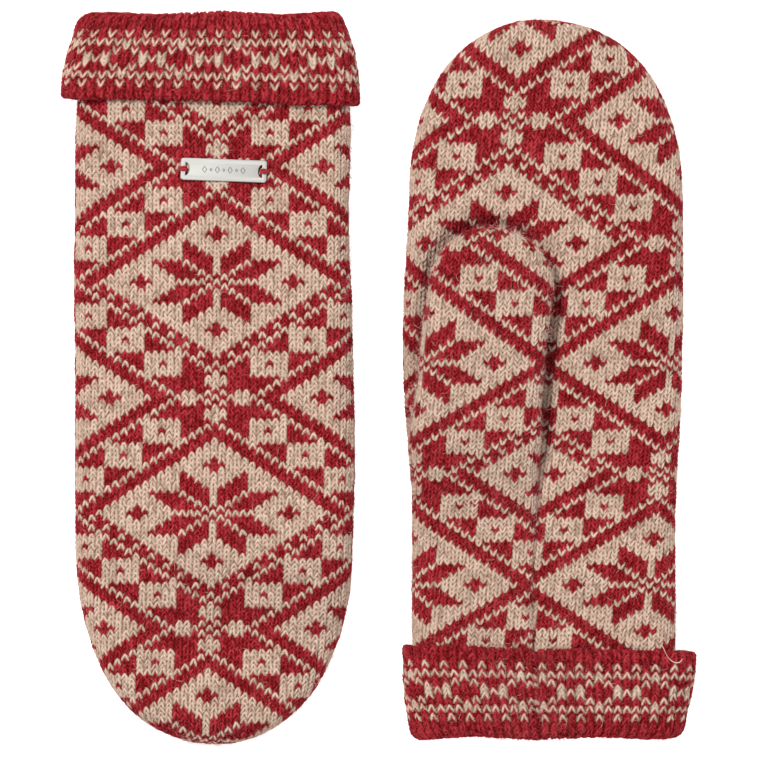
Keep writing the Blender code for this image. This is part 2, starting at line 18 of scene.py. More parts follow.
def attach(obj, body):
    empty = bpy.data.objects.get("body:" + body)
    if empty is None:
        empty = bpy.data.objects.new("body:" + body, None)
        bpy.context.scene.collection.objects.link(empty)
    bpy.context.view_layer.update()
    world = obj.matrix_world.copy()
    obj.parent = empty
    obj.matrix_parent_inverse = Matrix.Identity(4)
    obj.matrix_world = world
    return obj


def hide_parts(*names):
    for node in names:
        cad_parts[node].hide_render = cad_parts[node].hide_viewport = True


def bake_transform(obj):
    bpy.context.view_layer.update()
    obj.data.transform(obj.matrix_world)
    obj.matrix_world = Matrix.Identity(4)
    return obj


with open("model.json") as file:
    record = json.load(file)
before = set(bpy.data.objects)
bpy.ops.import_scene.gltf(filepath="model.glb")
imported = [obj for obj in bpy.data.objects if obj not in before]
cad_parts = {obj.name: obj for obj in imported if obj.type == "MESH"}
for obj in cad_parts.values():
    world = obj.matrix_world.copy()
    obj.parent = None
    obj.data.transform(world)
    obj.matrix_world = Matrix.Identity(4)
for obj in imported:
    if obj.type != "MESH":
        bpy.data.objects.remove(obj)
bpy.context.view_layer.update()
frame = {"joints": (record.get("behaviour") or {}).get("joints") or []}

# The hand's shape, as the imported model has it
HAND_THICK = 0.016
HAND_WALL = 0.0028
EDGE_ROUND = 0.008
TIP_ROUND = 0.010
TIP_POWER = 2.2
CUFF_THICK = 0.020
CUFF_WALL = 0.003
CUFF_GAP = 0.0006
WRIST_BLEND = 0.019
THUMB_THICK = 0.010
THUMB_AXIS = (-0.024, 0.102)
THUMB_MIDDLE = 0.0176 + THUMB_THICK / 2
THUMB_BLEND = (-0.020, 0.010)  # beside its axis along y; make_mitten places two points there and uses neither
LIFT = 0.0116  # how far the thumb underneath lifts the palm-down mitten, and where that fades out
LIFT_ACROSS = (0.002, 0.042)
LIFT_FROM_CUFF = (0.028, 0.081)
LIFT_TO_TIP = (0.188, 0.228)
CUFF_LIFT = 0.55  # share of it at the cuff

# The label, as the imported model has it
PLATE_LENGTH = 0.031
PLATE_WIDTH = 0.0082
PLATE_THICK = 0.0008
PLATE_BEVEL = 0.00022
PLATE_CENTRE = (-0.0036, 0.0569)
PLATE_TURN = math.radians(-2.1)
PLATE_CLEAR = 0.0005
SLOT_BAR = 0.0017
STRAND_RADIUS = 0.00036
STRAND_INSIDE = 0.0004  # how far inside the slot the yarn comes up, measured from the end bar
STRAND_OUTSIDE = 0.0006  # and how far past the plate's end it goes down
STRAND_BURIED = 0.0012
ORNAMENT_COUNT = 7
ORNAMENT_STEP = 0.0023
ORNAMENT_HEIGHT = 0.0026
ORNAMENT_LINE = 0.00030
ORNAMENT_RISE = 0.00002

# The knitting
STITCH = 0.002736  # width of a column
ROW = 0.001735
HAIR_WIDTH = 0.00008
HAIR_LENGTH = (0.0006, 0.0045)  # shortest and longest
HAND_HAIRS = 28000
THUMB_HAIRS = 13000
EDGE_HAIRS = 0.25  # share of them that stand along a piece's sides
EDGE_BAND = 0.08  # width of that edge, as a share of the piece's
RELIEF = 0.00105  # from the deepest gap between stitches to their crests
REST_HEIGHT = 0.62  # the height in the relief that lies on the smooth surface, where 1 is a crest
LEG_LENGTH = 0.58  # half the length of one leg of a stitch's V, in stitches
LEG_TILT = math.radians(24)
HAND_LEG = (0.165, 0.250)  # half its width, and how far it is from the middle of its V
CUFF_LEG = (0.132, 0.215)
GAP_HEIGHT = 0.08  # between the stitches
BETWEEN_BEIGE = 0.75  # how beige the gaps between beige stitches are
REPEAT = 48  # columns and rows after which the hand's pattern comes again
HALF = REPEAT // 2
CUFF_REPEAT = 6
CUFF_COLUMNS = 70
CUFF_AROUND = 68.25  # stitches from the palm seam round to it again
CUFF_FLARE = 2.0  # how much sooner than evenly it widens from its fold
CUFF_ROWS = 21
CUFF_EDGE_ROWS = 1.6  # rows on the inside of the free edge
CUFF_RELIEF = 1.4  # how much more its stitches stand out than the hand's
CUFF_SLACK = 2.0  # and how much more unevenly it lies
CUFF_ACROSS = 0.108  # the width over which its free edge slants
CUFF_GROOVE = 0.0016  # half the width of the seam's groove in it
CUFF_FINE = 9.5
FOLD_REACH = 0.003
LIP_LENGTH = 0.016
FINE = 9.0  # mesh columns for each stitch on the upper faces
PLAIN = 5.0  # and on the faces that lie underneath
MESH_ROWS = 0.66  # mesh rows for each row of stitches, as a share of the columns for each stitch

CAMERA_HEIGHT = 6.0
VIEW_WIDTH = 0.2737  # how much of the table is in view from there
SENSOR = 36

HAND_START = 0.022  # the skins start here, well inside the cuff
HAND_AROUND = 0.109  # across one face of the hand, round its edges
THUMB_AROUND = 0.054
FABRIC = 0.0024  # thickness of the skins
THUMB_FABRIC = 0.0018

# The palm seam, and the gusset that rises from the palm into the thumb
CROTCH_Y = 0.106
PALM_SEAM = (
    (0.0, -0.0014),
    (0.0194, -0.0029),
    (0.0342, -0.0036),
    (0.0626, -0.0036),
    (0.0839, -0.0022),
    (0.1058, -0.0011),
)
SEAM_DEPTH = 0.0022
SEAM_ROLL = 0.0022
SEAM_PULL = 0.0010  # how far the sewing draws the cuff's free edge down
SEAM_PULL_REACH = 0.003
SEAM_SIDE = 0.0018  # how far beside the seam the palm dips to it
UNDER_GUSSET = 0.0014  # how far the palm sinks under the gusset, and over what width it does so
UNDER_GUSSET_SIDE = 0.002
UNDER_THUMB = 0.082
CROTCH_BLEND = (0.097, 0.113)
GUSSET_RISE = (0.076, 0.114)  # where the gusset rises into the thumb: its top, outer side and seam side
GUSSET_RISE_OUTSIDE = (0.082, 0.114)
GUSSET_RISE_AT_SEAM = (0.090, 0.112)
THUMB_LEAVES_HAND = (0.088, 0.112)
THUMB_LEAVES_SEAM = (0.095, 0.108)
THUMB_UNDER_START = 0.088
THUMB_ROOT_SIDES = 0.007  # how far the thumb's back goes down into the hand at its root
THUMB_ROOT_MIDDLE = 0.0045
THUMB_DENT = 0.0040  # how deep the thumb presses into the palm round its outline
THUMB_DENT_WIDTH = 0.0034
THUMB_END = 0.1840
THUMB_TIP_POWER = 2.0
THUMB_SIDES = (
    (0.0900, -0.0484, -0.0018),
    (0.1076, -0.0480, -0.0009),
    (0.1250, -0.0458, -0.0005),
    (0.1393, -0.0444, 0.0007),
    (0.1520, -0.0427, 0.0024),
    (0.1620, -0.0411, 0.0036),
)

# The loose fibre on the left-hand mitten's cuff
FIBRE_RADIUS = 0.00018
FIBRE_PATH = (
    (0.0425, 0.0338, 0.0196),
    (0.0433, 0.0330, 0.0211),
    (0.0441, 0.0305, 0.0213),
    (0.0458, 0.0281, 0.0212),
    (0.0480, 0.0270, 0.0210),
    (0.0497, 0.0276, 0.0205),
    (0.0502, 0.0290, 0.0200),
)

# Where the pattern lies: rows from a star's middle, and the x of a column through the middle of a star
BACK_STAR = 0.0961
BACK_MIDDLE = -0.0011
BACK_LEAN = 0.0043
BACK_LEAN_FROM = 0.096
PALM_ROWS = (
    (-0.005, -35.7),
    (0.0544, 0.0),
    (0.1343, 48.0),
    (0.1775, 72.0),
    (0.2218, 96.0),
    (0.270, 122.0),
)
PALM_COLUMN = -0.0152
PALM_COLUMN_Y = 0.1775
PALM_COLUMN_LEAN = 0.0985
THUMB_COLUMN = -0.0450
THUMB_COLUMN_Y = 0.1343
THUMB_COLUMN_LEAN = 0.085

RED = (0.43, 0.015, 0.027)
# painted shade: the red of the gaps between stitches, where shade falls; also the real darker tone of fibre
# streaks, of random stitches and of the sewing yarn
RED_SHADE_AND_DARK_TONE = (0.085, 0.0004, 0.0012)
# the colour of the red hairs and flecks, and also the painted highlight on the stitches' crests
RED_HAIR_AND_HIGHLIGHT = (0.58, 0.075, 0.085)
BEIGE = (0.70, 0.505, 0.400)
# painted shade: the colour of the gaps between beige stitches, where shade falls
BEIGE_GROOVE_SHADE = (0.165, 0.100, 0.066)
# the colour of the beige hairs and flecks, and also the painted highlight on the stitches' crests
BEIGE_HAIR_AND_HIGHLIGHT = (0.84, 0.66, 0.545)
BEIGE_SHADE = (0.42, 0.29, 0.20)
LABEL_RED = (0.50, 0.022, 0.034)
LABEL_RED_DEEP = (0.20, 0.004, 0.008)
STEEL = (0.46, 0.453, 0.425)
STEEL_DARK = (0.10, 0.098, 0.09)


def smoothstep(value, low, high):
    t = np.clip((np.asarray(value, float) - low) / (high - low), 0, 1)
    return t * t * (3 - 2 * t)


def curve_through(points, y):
    """Hermite cubics through (y, value) points, with averaged slopes."""
    ys = np.array([p[0] for p in points])
    vs = np.array([p[1] for p in points])
    y = np.clip(y, ys[0], ys[-1])
    i = np.clip(np.searchsorted(ys, y) - 1, 0, len(ys) - 2)
    last = len(ys) - 1
    index = np.arange(len(ys))
    before, after = np.maximum(index - 1, 0), np.minimum(index + 1, last)
    slopes = (vs[after] - vs[before]) / (ys[after] - ys[before])
    step = ys[i + 1] - ys[i]
    t = (y - ys[i]) / step
    return (
        (2 * t**3 - 3 * t**2 + 1) * vs[i]
        + (t**3 - 2 * t**2 + t) * step * slopes[i]
        + (3 * t**2 - 2 * t**3) * vs[i + 1]
        + (t**3 - t**2) * step * slopes[i + 1]
    )


def sides_at(sides, y):
    """The left and right x at y of an outline given as (y, left, right) points."""
    return (curve_through([(p[0], p[side]) for p in sides], y) for side in (1, 2))


@dataclass
class Mitten:
    """One mitten's outline in its hand frame, its cuff, and how it lies."""

    name: str
    palm_up: bool
    length: float
    tip_start: float  # where the sides begin to close round the fingertips
    sides: tuple
    cuff_length: float
    cuff_fold: tuple  # x of the cuff's two sides at its fold, and at its free edge
    cuff_edge: tuple
    cuff_slant: tuple  # how much longer the cuff is at its two sides
    cuff_shift: float  # columns by which its pattern is moved round it

    def __post_init__(self):
        self.body = self.name + "_mitten"
        self.thumb_body = self.name + "_thumb"
        self.turn = 1 if self.palm_up else -1
        self.wrist_z = HAND_THICK / 2 + self.turn * (CUFF_THICK - HAND_THICK) / 2
        hinge = next(j for j in frame["joints"] if j["name"] == self.name + "_thumb_swing")
        self.origin = tuple(hinge["pos_m"][i] - self.turn * THUMB_AXIS[i] for i in (0, 1))

    def edges(self, y):
        share = np.clip((y - self.tip_start) / (self.length - self.tip_start), 0, 1)
        keep = np.clip(1 - share**TIP_POWER, 0, 1) ** (1 / TIP_POWER)
        left, right = sides_at(self.sides, y)
        return left * keep, right * keep

    def swell(self, y):
        """0 inside the cuff, 1 where the hand has its full thickness."""
        return smoothstep(y, self.cuff_length, self.cuff_length + WRIST_BLEND)

    def half_thickness(self, y):
        wrist = CUFF_THICK / 2 - CUFF_WALL - CUFF_GAP
        half = wrist + (HAND_THICK / 2 - wrist) * self.swell(y)
        into_tip = np.clip((y - self.length + TIP_ROUND) / TIP_ROUND, 0, 1)
        return half * np.sqrt(np.clip(1 - into_tip**2, 0, 1))

    def middle(self, y):
        return self.wrist_z + (HAND_THICK / 2 - self.wrist_z) * self.swell(y)

    def place(self, points, over_thumb=False):
        """Hand-frame points as they lie on the table."""
        x, y, z = points[..., 0], points[..., 1], points[..., 2]
        ox, oy = self.origin
        if self.palm_up:
            return np.stack([ox + x, oy + y, z], -1)
        if over_thumb:
            share = 1.0
        else:
            share = 1 - smoothstep(x, *LIFT_ACROSS)
            share = share * (CUFF_LIFT + (1 - CUFF_LIFT) * smoothstep(y, *LIFT_FROM_CUFF))
            share = share * (1 - smoothstep(y, *LIFT_TO_TIP))
        return np.stack([ox - x, oy - y, HAND_THICK - z + LIFT * share], -1)


RIGHT = Mitten(
    "right",
    palm_up=False,
    length=0.2635,
    tip_start=0.190,
    sides=(
        (0.0033, -0.0420, 0.0440),
        (0.0315, -0.0487, 0.0492),
        (0.0780, -0.0484, 0.0502),
        (0.1130, -0.0500, 0.0504),
        (0.1720, -0.0506, 0.0500),
        (0.1900, -0.0500, 0.0500),
    ),
    cuff_length=0.0315,
    cuff_fold=(-0.0454, 0.0475),
    cuff_edge=(-0.0529, 0.0553),
    cuff_slant=(0.0022, -0.0008),
    cuff_shift=-2.05,
)
LEFT = Mitten(
    "left",
    palm_up=True,
    length=0.2590,
    tip_start=0.1955,
    sides=(
        (0.0033, -0.0438, 0.0458),
        (0.0338, -0.0470, 0.0476),
        (0.0886, -0.0472, 0.0480),
        (0.1210, -0.0500, 0.0500),
        (0.1460, -0.0504, 0.0504),
        (0.1960, -0.0482, 0.0504),
    ),
    cuff_length=0.0338,
    cuff_fold=(-0.0472, 0.0493),
    cuff_edge=(-0.0508, 0.0553),
    cuff_slant=(0.0, -0.0026),
    cuff_shift=-0.8,
)

# ---- knitting charts


def wrapped(value, period):
    """value moved by whole periods to between -period/2 and period/2."""
    return (value + period // 2) % period - period // 2


def nearest(k, j, centres):
    """How many columns and rows away the nearest of the two centres is, in the pattern's repeats."""
    (a, b), (c, d) = (
        (np.abs(wrapped(k - k0, REPEAT)), np.abs(wrapped(j - j0, REPEAT))) for k0, j0 in centres
    )
    return np.where(c + d < a + b, c, a), np.where(c + d < a + b, d, b)


def body_chart(k, j):
    """Which stitches of the hand are beige: stars in diamonds, and a trellis of small squares between them.

    The red band round every other diamond is dotted with beige on its fingertip side.
    """
    a, b = nearest(k, j, ((0, 0), (HALF, HALF)))
    reach = a + b
    petals = (a >= 1) & (a <= 4) & (b > a) & (b <= a + 4)
    petals |= (b >= 1) & (b <= 4) & (a > b) & (a <= b + 4)
    crosses = (np.abs(a - 10) + b <= 1) | (np.abs(b - 10) + a <= 1)
    star = petals | crosses | (reach == 1)
    p, q = nearest(k, j, ((0, HALF), (HALF, 0)))
    square = np.zeros(np.shape(k), bool)
    for step in (7, 12, 17):
        inside = (np.abs(p - step) <= 2) & (np.abs(q - step) <= 2)
        square |= inside & ~((p == step) & (q == step))
    arms = ((p >= 3) & (p <= 4) & (q <= 1)) | ((q >= 3) & (q <= 4) & (p <= 1))
    knot = arms | (p + q == 0) | ((p == 1) & (q == 1)) | ((p + q == 2) & (p * q == 0))
    up = wrapped(j, REPEAT)
    dots = (np.abs(wrapped(k, REPEAT)) + up == 17) & (up > 0) & (k % 2 == 0)
    return np.where(reach <= 15, ~star, (reach == 19) | dots | ((reach >= 20) & (square | knot)))


def cuff_chart(k, j):
    """Which stitches of the cuff are beige, in rows from its free edge: rings between two lines."""
    a = np.abs(wrapped(k, CUFF_REPEAT))
    m = np.abs(j - CUFF_ROWS // 2)
    ring = ((m > 0) & (a + m == 3)) | ((m == 0) & (a >= 2))
    dots = (m == 6) & (k % 2 == 0)
    return (ring | (m == 4) | dots) & (j >= 0) & (j < CUFF_ROWS)


# ---- stitches

NO_QUADS = np.zeros((0, 4), int)
NO_TRIANGLES = np.zeros((0, 3), int)
JITTER = np.random.default_rng(11).normal(size=(256, 256, 2, 5)).clip(-2.5, 2.5)


def knit_relief(k, j, chart, stitch, row, leg):
    """Height of knitted fabric at column k and row j, and what is on top there.

    Every stitch is a V whose point is at its own row and whose legs lean out to the next one. Returns the
    height from 0 to 1, whether the stitch on top is beige, and a random tone for its leg.
    """
    height = np.zeros(k.shape)
    beige = np.zeros(k.shape)
    tone = np.zeros(k.shape)
    column = np.rint(k).astype(int)
    row_below = np.floor(j).astype(int)
    towards = np.where(k >= column, 1, -1)
    legs = (
        (column, np.full(k.shape, -1)),
        (column, np.full(k.shape, 1)),
        (column + towards, -towards),
    )
    wide, apart = leg
    for up in (-1, 0, 1):
        r = row_below + up
        for c, side in legs:
            drift = JITTER[r % 256, c % 256, (side + 1) // 2]
            dx = (k - c - side * apart - 0.025 * drift[..., 0]) * stitch
            dy = (j - r - 0.55 - 0.06 * drift[..., 1]) * row
            tilt = side * LEG_TILT + 0.07 * drift[..., 2]
            across = (dx * np.cos(tilt) - dy * np.sin(tilt)) / (wide * stitch * (1 + 0.07 * drift[..., 3]))
            along = (dx * np.sin(tilt) + dy * np.cos(tilt)) / (LEG_LENGTH * stitch)
            inside = 1 - across**2 - along**2
            strand = 0.84 * np.clip(inside, 0, 1) ** 0.55 - 0.16 * along + 0.03 * drift[..., 4]
            strand = np.where(inside > 0, strand, 0)
            on_top = strand > height
            height = np.where(on_top, strand, height)
            beige = np.where(on_top, chart(c, r), beige)
            tone = np.where(on_top, drift[..., 3], tone)
    missed = height <= 0
    beige = np.where(missed, BETWEEN_BEIGE * chart(column, row_below), beige)
    return np.clip(height, GAP_HEIGHT, 1), beige, tone


def ripple(x, y, size, seed):
    """Soft unevenness of cloth between -1 and 1, with bumps of about this size."""
    rng = np.random.default_rng(seed)
    total = np.zeros(np.broadcast(x, y).shape)
    for _ in range(7):
        angle, phase = rng.uniform(0, 2 * math.pi, 2)
        wave = 2 * math.pi / (size * rng.uniform(0.7, 1.8))
        total += np.sin(wave * (x * math.cos(angle) + y * math.sin(angle)) + phase)
    return total / 4


def slack(points):
    """How far the worn fabric stands in or out at each point. It is the same on both faces at an edge."""
    x, y = points[..., 0], points[..., 1]
    return 0.00022 * ripple(x, y, 0.028, 3) + 0.00010 * ripple(x, y, 0.007, 5)


# ---- meshes


def surface_normals(points, outward, closed=False):
    """Unit normals of a grid of points, on the side that outward points to."""
    along = np.gradient(points, axis=0)
    if closed:
        across = np.roll(points, -1, axis=1) - np.roll(points, 1, axis=1)
    else:
        across = np.gradient(points, axis=1)
    normal = np.cross(across, along)
    normal /= np.maximum(np.linalg.norm(normal, axis=-1, keepdims=True), 1e-12)
    return normal * np.sign((normal * outward).sum(-1).mean())


def quads(rows, columns, first=0, closed=False):
    """Faces of a grid of vertices numbered row by row from first on."""
    r = np.arange(rows - 1)[:, None]
    c = np.arange(columns if closed else columns - 1)[None, :]
    after = (c + 1) % columns
    low, high = r * columns, (r + 1) * columns
    return np.stack([low + c, low + after, high + after, high + c], -1).reshape(-1, 4) + first


def zipper(one, other):
    """Triangles between two chains of vertex numbers that run the same way, whatever their counts."""
    faces = []
    i = k = 0
    last_one, last_other = len(one) - 1, len(other) - 1
    while i < last_one or k < last_other:
        if k == last_other or (i < last_one and (i + 1) * last_other <= (k + 1) * last_one):
            faces.append((one[i], one[i + 1], other[k]))
            i += 1
        else:
            faces.append((one[i], other[k + 1], other[k]))
            k += 1
    return np.array(faces)


def shell_faces(outer_shape, inner_shape):
    """Quads and triangles of a closed wall between two open grids, with the outer one's vertices first."""
    first = outer_shape[0] * outer_shape[1]
    outer = np.arange(first).reshape(outer_shape)
    inner = np.arange(inner_shape[0] * inner_shape[1]).reshape(inner_shape) + first
    faces = np.concatenate([quads(*outer_shape), quads(*inner_shape, first)[:, ::-1]])
    rims = [
        zipper(outer[0], inner[0])[:, ::-1],
        zipper(outer[-1], inner[-1]),
        zipper(outer[:, 0], inner[:, 0]),
        zipper(outer[:, -1], inner[:, -1])[:, ::-1],
    ]
    return faces, np.concatenate(rims)


def linked(name, data):
    obj = bpy.data.objects.new(name, data)
    bpy.context.scene.collection.objects.link(obj)
    return obj


def built(bm, name, finish, smooth=True):
    """The finished bmesh as an object with its material."""
    mesh = bpy.data.meshes.new(name)
    bm.to_mesh(mesh)
    bm.free()
    if smooth:
        mesh.shade_smooth()
    mesh.materials.append(finish)
    return linked(name, mesh)


def mesh_object(name, points, faces, triangles, attributes, finish, flip=False):
    """A smooth object from arrays, with its point attributes and its material."""
    if flip:
        faces, triangles = faces[:, ::-1], triangles[:, ::-1]
    mesh = bpy.data.meshes.new(name)
    corners = np.concatenate([faces.ravel(), triangles.ravel()]).astype(np.int32)
    sizes = np.concatenate([np.full(len(faces), 4), np.full(len(triangles), 3)])
    starts = np.concatenate([[0], np.cumsum(sizes)[:-1]]).astype(np.int32)
    mesh.vertices.add(len(points))
    mesh.vertices.foreach_set("co", points.astype(np.float32).ravel())
    mesh.loops.add(len(corners))
    mesh.loops.foreach_set("vertex_index", corners)
    mesh.polygons.add(len(sizes))
    mesh.polygons.foreach_set("loop_start", starts)
    mesh.update(calc_edges=True)
    for key, values in attributes.items():
        attribute_data = mesh.attributes.new(key, "FLOAT", "POINT").data
        attribute_data.foreach_set("value", values.astype(np.float32).ravel())
    mesh.shade_smooth()
    mesh.materials.append(finish)
    return linked(name, mesh)


def dressed(
    points, outward, k, j, chart, size=(STITCH, ROW), leg=HAND_LEG, closed=False, amount=1.0, loose=0.0
):
    """The grid with its stitches raised on it, and the attributes that its colour follows."""
    height, beige, tone = knit_relief(*np.broadcast_arrays(k, j), chart, *size, leg)
    normal = surface_normals(points, outward, closed)
    push = RELIEF * amount * (height - REST_HEIGHT) + loose
    return points + normal * push[..., None], {"crest": height, "beige": beige, "tone": tone}


def hairs(faces, count, seed):
    """Fine hairs that stand out of knitted faces: their points, their triangles, and which are beige.

    Each hair is a closed three-sided spindle. faces has ((points, attributes), outward, share) for each.
    """
    rng = np.random.default_rng(seed)
    roots, normals, colours = [], [], []
    for (points, attributes), outward, share in faces:
        n = int(count * share)
        r = rng.integers(1, points.shape[0] - 1, n)
        across = rng.random(n)
        side = np.where(rng.random(n) < 0.5, 0.0, 1.0)
        across = np.where(rng.random(n) < EDGE_HAIRS, side + (across - side) * EDGE_BAND, across)
        c = (1 + across * (points.shape[1] - 3)).astype(int)
        roots.append(points[r, c])
        normals.append(surface_normals(points, outward)[r, c])
        colours.append(attributes["beige"][r, c] > 0.5)
    root, normal = np.concatenate(roots), np.concatenate(normals)
    wander = rng.normal(size=root.shape)
    along = wander - normal * (wander * normal).sum(-1, keepdims=True)
    along /= np.linalg.norm(along, axis=-1, keepdims=True)
    side = np.cross(along, normal)
    length = rng.gamma(3.0, 0.00055, len(root)).clip(*HAIR_LENGTH)[:, None]
    lift = rng.uniform(0.05, 0.55, len(root))[:, None]
    curl = rng.normal(0, 0.5, len(root))[:, None]
    strands = []
    for t, corners in ((0.0, 1), (0.35, 3), (0.7, 3), (1.0, 1)):
        centre = root + along * length * t + side * curl * length * t**2
        centre = centre + normal * (lift * length * np.sin(t * 2.2) - 0.0001)
        for corner in range(corners):
            turn = 2 * math.pi * corner / 3
            radius = 0.0 if corners == 1 else HAIR_WIDTH / 2
            strands.append(centre + radius * (side * math.cos(turn) + normal * math.sin(turn)))
    points = np.stack(strands, 1)
    faces = []
    for a, b in ((1, 2), (2, 3), (3, 1)):
        faces += [(0, b, a), (a, b, b + 3), (a, b + 3, a + 3), (a + 3, b + 3, 7)]
    return points, np.arange(len(root))[:, None, None] * 8 + np.array(faces), np.concatenate(colours)


def brushed(mitten, name, faces, count, seed, finishes, over_thumb=False):
    """The loose hairs of some knitted faces as one object for each colour of yarn, none under the label."""
    points, triangles, pale = hairs(faces, count, seed)
    if not mitten.palm_up:
        x, y, z = np.abs(points - np.array([*PLATE_CENTRE, 0.0])).transpose(2, 0, 1)
        under = (x < PLATE_LENGTH / 2 + 0.0005) & (y < PLATE_WIDTH / 2 + 0.0008) & (z < HAND_THICK / 2)
        points, pale = points[~under.any(axis=1)], pale[~under.any(axis=1)]
    made = []
    for kind, finish, chosen in (("red", finishes[0], ~pale), ("beige", finishes[1], pale)):
        kept = mitten.place(points[chosen], over_thumb).reshape(-1, 3)
        kept[:, 2] = np.maximum(kept[:, 2], 0.0)
        corners = triangles[: int(chosen.sum())].reshape(-1, 3)
        full_name = f"{name}_{kind}_hairs"
        made.append(mesh_object(full_name, kept, NO_QUADS, corners, {}, finish, mitten.palm_up))
    return made


def thinned(grid, step=4):
    """One row and column of a grid in every step, with its last ones kept."""
    rows, columns = (np.unique(np.append(np.arange(0, n, step), n - 1)) for n in grid.shape[:2])
    return grid[rows][:, columns]


def walled(name, mitten, base, outward, face, thickness, finish, over_thumb=False):
    """A closed piece of fabric: its face with stitches on one side, and a plainer back inside.

    base is the grid without stitches and face the (points, attributes) with them.
    """
    points, attributes = face
    inner = thinned(base - surface_normals(base, outward) * thickness)
    count = inner.shape[0] * inner.shape[1]
    inner_beige = thinned(attributes["beige"])
    filled = {
        "crest": np.concatenate([attributes["crest"].ravel(), np.full(count, 0.45)]),
        "beige": np.concatenate([attributes["beige"].ravel(), 0.6 * inner_beige.ravel()]),
        "tone": np.concatenate([attributes["tone"].ravel(), np.zeros(count)]),
    }
    faces, rims = shell_faces(points.shape[:2], inner.shape[:2])
    everything = np.concatenate([points.reshape(-1, 3), inner.reshape(-1, 3)])
    middle = tuple(n // 2 for n in points.shape[:2])
    a, b, c = points[middle], points[middle[0], middle[1] + 1], points[middle[0] + 1, middle[1]]
    inward = np.dot(np.cross(b - a, c - a), outward) < 0
    placed = mitten.place(everything, over_thumb)
    return mesh_object(name, placed, faces, rims, filled, finish, flip=inward == mitten.palm_up)


# ---- materials


def set_inputs(shader, values):
    for key, value in values.items():
        shader.inputs[key].default_value = value


def node(tree, kind, **values):
    made = tree.nodes.new(kind)
    set_inputs(made, values)
    return made


def mix(tree, factor, one, other):
    """A colour mix whose inputs are sockets or colours."""
    made = tree.nodes.new("ShaderNodeMix")
    made.data_type = "RGBA"
    for socket, value in ((made.inputs["Factor"], factor), (made.inputs[6], one), (made.inputs[7], other)):
        if isinstance(value, tuple):
            socket.default_value = (*value, 1)
        else:
            tree.links.new(value, socket)
    return made.outputs[2]


def scaled(tree, value, low, high, to_low=0.0, to_high=1.0):
    made = tree.nodes.new("ShaderNodeMapRange")
    set_inputs(made, {"From Min": low, "From Max": high, "To Min": to_low, "To Max": to_high})
    tree.links.new(value, made.inputs["Value"])
    return made.outputs["Result"]


def attribute(tree, name):
    made = tree.nodes.new("ShaderNodeAttribute")
    made.attribute_name = name
    return made.outputs["Fac"]


def noise(tree, where, scale, detail=2.0, roughness=0.5):
    made = node(tree, "ShaderNodeTexNoise", Scale=scale, Detail=detail, Roughness=roughness)
    tree.links.new(where, made.inputs["Vector"])
    return made.outputs["Fac"]


def bumped(tree, shader, height, strength, distance):
    bump = node(tree, "ShaderNodeBump", Strength=strength, Distance=distance)
    tree.links.new(height, bump.inputs["Height"])
    tree.links.new(bump.outputs["Normal"], shader.inputs["Normal"])


def new_material(name):
    material = bpy.data.materials.new(name)
    material.use_nodes = True
    return material, material.node_tree, material.node_tree.nodes["Principled BSDF"]


def wool(name):
    """Two-colour brushed wool, in the colour of the stitch on top, with painted shade darkening the gaps
    between stitches and a painted highlight lightening their crests.
    """
    material, tree, shader = new_material(name)
    where = tree.nodes.new("ShaderNodeTexCoord").outputs["Object"]
    fleck = noise(tree, where, 2100.0, 3.0, 0.75)
    fibre = noise(tree, where, 900.0, 2.0)
    cloud = noise(tree, where, 150.0)
    crest = attribute(tree, "crest")
    # painted shade: the lower the relief, the further the red darkens towards its painted groove shade
    light = scaled(tree, crest, 0.05, 0.88)
    # painted shade: beige darkens the same way in the gaps between stitches
    beige_shade_amount = scaled(tree, crest, 0.06, 0.62)
    # painted highlight: the highest crests lighten towards the hair colour
    top = scaled(tree, crest, 0.62, 0.97, 0.0, 0.6)
    tone = attribute(tree, "tone")
    red = mix(tree, top, mix(tree, light, RED_SHADE_AND_DARK_TONE, RED), RED_HAIR_AND_HIGHLIGHT)
    beige = mix(tree, beige_shade_amount, BEIGE_GROOVE_SHADE, mix(tree, top, BEIGE, BEIGE_HAIR_AND_HIGHLIGHT))
    red = mix(tree, scaled(tree, fleck, 0.50, 0.66, 0.0, 0.65), red, RED_HAIR_AND_HIGHLIGHT)
    red = mix(tree, scaled(tree, fibre, 0.52, 0.40, 0.0, 0.6), red, RED_SHADE_AND_DARK_TONE)
    beige = mix(tree, scaled(tree, fleck, 0.50, 0.66, 0.0, 0.6), beige, BEIGE_HAIR_AND_HIGHLIGHT)
    beige = mix(tree, scaled(tree, fibre, 0.52, 0.38, 0.0, 0.55), beige, BEIGE_SHADE)
    red = mix(tree, scaled(tree, tone, 0.0, 2.5, 0.0, 0.45), red, RED_HAIR_AND_HIGHLIGHT)
    red = mix(tree, scaled(tree, cloud, 0.52, 0.38, 0.0, 0.3), red, RED_SHADE_AND_DARK_TONE)
    beige = mix(tree, scaled(tree, cloud, 0.50, 0.36, 0.0, 0.25), beige, BEIGE_SHADE)
    both = mix(tree, attribute(tree, "beige"), red, beige)
    both = mix(tree, scaled(tree, tone, 0.0, -2.5, 0.0, 0.4), both, RED_SHADE_AND_DARK_TONE)
    tree.links.new(both, shader.inputs["Base Color"])
    bumped(tree, shader, noise(tree, where, 2400.0, 3.0, 0.7), 0.7, 0.0003)
    set_inputs(shader, {"Roughness": 0.95, "Specular IOR Level": 0.02, "Sheen Weight": 0.04})
    set_inputs(shader, {"Sheen Roughness": 0.5, "Sheen Tint": (1.0, 0.70, 0.66, 1)})
    return material


def plain(name, colour, roughness, sheen=0.0):
    """One colour all over, for hairs and lines too thin to show any variation."""
    material, _, shader = new_material(name)
    set_inputs(shader, {"Base Color": (*colour, 1), "Roughness": roughness})
    set_inputs(shader, {"Specular IOR Level": 0.15, "Sheen Weight": sheen})
    return material


